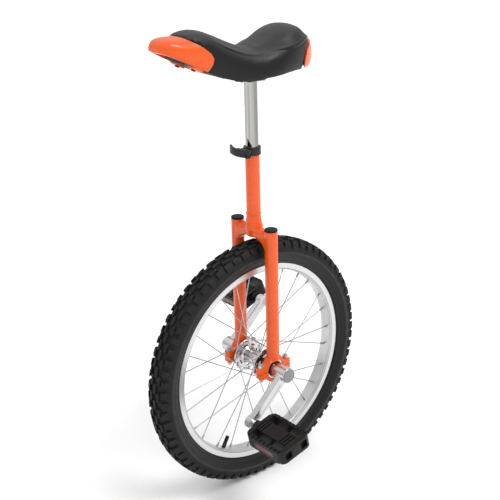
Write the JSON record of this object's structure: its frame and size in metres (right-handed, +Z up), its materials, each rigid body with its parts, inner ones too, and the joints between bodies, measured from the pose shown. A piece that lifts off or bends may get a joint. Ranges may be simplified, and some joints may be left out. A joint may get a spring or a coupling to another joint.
{
  "type": "unicycle",
  "caption": "Unicycle with a knobbly tyre on a spoked wheel, cranks and platform pedals, two-legged fork and a height-adjustable curved saddle with a grab handle.",
  "frame": {"origin": "ground contact point of the tyre, straight below the axle; middle of the bounding box's base", "axes": "+X forward (handle end of the saddle), +Y rider's left along the axle, +Z up"},
  "size_m": [0.516, 0.4198, 0.9365],
  "materials": {
    "frame_paint": "gloss",
    "tyre_rubber": "matte",
    "tube_rubber": "matte",
    "rim_alloy": "satin",
    "spoke_steel": "satin",
    "hub_alloy": "polished",
    "axle_steel": "satin",
    "bearing_steel": "polished",
    "seal_rubber": "matte",
    "crank_alloy": "polished",
    "dust_cap_plastic": "matte",
    "zinc_steel": "satin",
    "black_plastic": "satin",
    "pedal_plastic": "satin",
    "reflector": "gloss",
    "clamp_black": "satin",
    "post_chrome": "polished",
    "saddle_cover": "satin",
    "orange_plastic": "gloss"
  },
  "bodies": {
    "frame": {"seat_tube": "frame_paint", "fork_crown": "frame_paint", "fork_leg_left": "frame_paint", "fork_leg_right": "frame_paint", "leg_plugs": "black_plastic", "bearing_holder_left": "frame_paint", "bearing_holder_right": "frame_paint", "bearing_cap_left": "frame_paint", "bearing_cap_right": "frame_paint", "bearing_cap_bolts": "zinc_steel", "bearing_cap_nuts": "zinc_steel", "bearing_outer_rings": "bearing_steel", "bearing_seals": "seal_rubber"},
    "wheel": {"tyre": "tyre_rubber", "inner_tube": "tube_rubber", "rim_tape": "tube_rubber", "rim": "rim_alloy", "spokes_left": "spoke_steel", "spokes_right": "spoke_steel", "spoke_nipples": "spoke_steel", "hub_shell": "hub_alloy", "axle": "axle_steel", "bearing_inner_rings": "bearing_steel", "bearing_balls": "bearing_steel", "axle_spacers": "axle_steel", "crank_left": "crank_alloy", "crank_right": "crank_alloy", "crank_bolts": "zinc_steel", "dust_caps": "dust_cap_plastic", "pedal_spindle_left": "axle_steel", "pedal_spindle_right": "axle_steel", "spindle_nuts": "zinc_steel", "valve_stem": "tube_rubber", "valve_cap": "black_plastic"},
    "left_pedal": {"pedal_body_left": "pedal_plastic", "pedal_bushes_left": "bearing_steel", "pedal_reflectors_left": "reflector", "pedal_end_cap_left": "pedal_plastic"},
    "right_pedal": {"pedal_body_right": "pedal_plastic", "pedal_bushes_right": "bearing_steel", "pedal_reflectors_right": "reflector", "pedal_end_cap_right": "pedal_plastic"},
    "seat_collar": {"seat_clamp_collar": "clamp_black", "clamp_skewer": "zinc_steel", "clamp_nut": "clamp_black", "cam_washer": "zinc_steel", "lever_pin": "zinc_steel"},
    "quick_release": {"quick_release_lever": "clamp_black"},
    "seat": {"seatpost": "post_chrome", "saddle_plate": "zinc_steel", "saddle_bolts": "zinc_steel", "saddle_nuts": "zinc_steel", "saddle_base": "black_plastic", "saddle_cushion": "saddle_cover", "front_handle": "orange_plastic", "rear_bumper": "orange_plastic", "bumper_screws": "zinc_steel"}
  },
  "joints": [
    {"name": "wheel_spin", "type": "hinge", "parent": "frame", "child": "wheel", "pos_m": [0, 0, 0.258], "axis": [0, 1, 0], "continuous": true},
    {"name": "left_pedal_spin", "type": "hinge", "parent": "wheel", "child": "left_pedal", "pos_m": [0.08604, 0.157, 0.18321], "axis": [0, 1, 0], "continuous": true},
    {"name": "right_pedal_spin", "type": "hinge", "parent": "wheel", "child": "right_pedal", "pos_m": [-0.08604, -0.157, 0.33279], "axis": [0, 1, 0], "continuous": true},
    {"name": "seat_swivel", "type": "hinge", "parent": "frame", "child": "seat_collar", "pos_m": [0, 0, 0.697], "axis": [0, 0, 1], "continuous": true},
    {"name": "seat_height", "type": "slide", "parent": "seat_collar", "child": "seat", "axis": [0, 0, 1], "range_m": [-0.04, 0.07]},
    {"name": "lever_open", "type": "hinge", "parent": "seat_collar", "child": "quick_release", "pos_m": [0.024, 0.0155, 0.69675], "axis": [0, 0, 1], "range_deg": [0, 165]}
  ]
}
